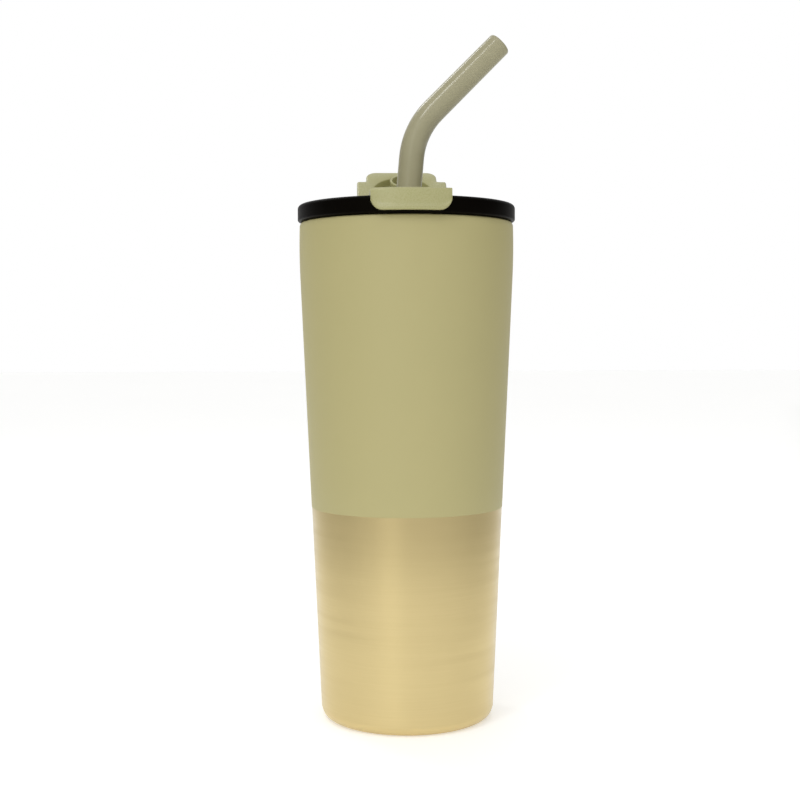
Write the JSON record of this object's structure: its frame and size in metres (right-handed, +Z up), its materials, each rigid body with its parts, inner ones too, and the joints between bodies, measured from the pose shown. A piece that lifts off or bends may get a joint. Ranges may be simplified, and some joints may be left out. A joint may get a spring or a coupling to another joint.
{
  "type": "insulated tumbler with straw lid",
  "caption": "Tapered double-wall steel tumbler with a press-in lid, a flip-back flap over the straw hole, and a steel straw with a bent soft mouthpiece.",
  "frame": {"origin": "centre of the foot ring, on the plane the cup stands on", "axes": "+Z up along the cup's axis, -Y towards the front tab, +X towards the side the mouthpiece bends to"},
  "size_m": [0.09, 0.103, 0.281],
  "materials": {
    "painted_steel": "satin green-beige paint over brushed steel",
    "bare_steel": "satin",
    "inner_steel": "electropolished",
    "seal_glass": "fused glass bead",
    "getter_metal": "matt sintered metal",
    "copper_foil": "bright copper foil",
    "black_plastic": "fine satin",
    "liner_plastic": "satin",
    "gasket_silicone": "matt translucent silicone",
    "pale_green_plastic": "satin",
    "green_silicone": "matt silicone",
    "black_silicone": "matt silicone",
    "pin_steel": "bright",
    "straw_steel": "polished",
    "straw_silicone": "semi-gloss silicone"
  },
  "bodies": {
    "cup": {"outer_shell": "painted_steel", "base_plate": "bare_steel", "base_cap": "bare_steel", "vacuum_seal": "seal_glass", "getter": "getter_metal", "getter_clip": "bare_steel", "inner_vessel": "inner_steel", "inner_bottom": "inner_steel", "copper_foil": "copper_foil"},
    "lid": {"lid_body": "black_plastic", "lid_liner": "liner_plastic", "lid_gasket": "gasket_silicone", "deck_bar": "pale_green_plastic", "straw_grommet": "green_silicone", "vent_valve": "black_silicone", "hinge_pin": "pin_steel"},
    "flap": {"flap_shell": "pale_green_plastic", "flap_plug": "green_silicone"},
    "straw": {"straw_tube": "straw_steel", "straw_stop": "straw_silicone"},
    "mouthpiece": {"mouthpiece": "straw_silicone"}
  },
  "joints": [
    {"name": "lid_lift", "type": "slide", "parent": "cup", "child": "lid", "axis": [0, 0, 1], "range_m": [0, 0.215]},
    {"name": "flap_hinge", "type": "hinge", "parent": "lid", "child": "flap", "pos_m": [0, 0.0186, 0.213], "axis": [1, 0, 0], "range_deg": [0, 80]},
    {"name": "straw_slide", "type": "slide", "parent": "lid", "child": "straw", "axis": [0.0872, 0, 0.9962], "range_m": [0, 0.215]},
    {"name": "mouthpiece_swivel", "type": "hinge", "parent": "straw", "child": "mouthpiece", "pos_m": [0, -0.011, 0.212], "axis": [0.0872, 0, 0.9962], "continuous": true}
  ]
}
